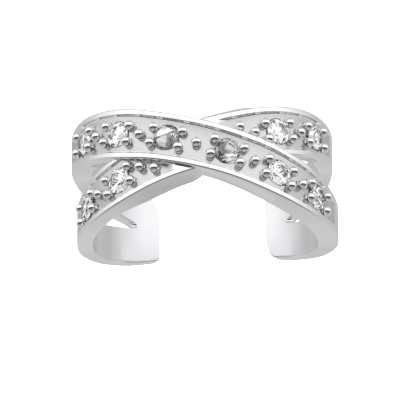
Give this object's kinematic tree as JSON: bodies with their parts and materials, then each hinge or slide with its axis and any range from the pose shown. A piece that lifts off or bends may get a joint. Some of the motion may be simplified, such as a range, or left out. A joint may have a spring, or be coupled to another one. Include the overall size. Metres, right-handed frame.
{
  "type": "ear cuff",
  "caption": "Open ear cuff whose two channel-set bands of clear round stones cross at the front and join in plain rounded tabs, pressed on to the rim of an ear.",
  "frame": {"origin": "centre of the outline on the plane the cuff rests on", "axes": "+Z along the ring's axis, -Y towards the crossing at the front, +Y towards the open gap"},
  "size_m": [0.011, 0.0102, 0.0047],
  "materials": {
    "rhodium_plated_silver": "mirror polish with bright cast channel floors",
    "clear_stone": "faceted and polished"
  },
  "bodies": {
    "root": {"cuff_body": "rhodium_plated_silver", "over_band_stone_1": "clear_stone", "over_band_stone_2": "clear_stone", "over_band_stone_3": "clear_stone", "over_band_stone_4": "clear_stone", "over_band_stone_5": "clear_stone", "over_band_stone_6": "clear_stone", "under_band_stone_1": "clear_stone", "under_band_stone_2": "clear_stone", "under_band_stone_3": "clear_stone", "under_band_stone_4": "clear_stone"}
  },
  "joints": []
}
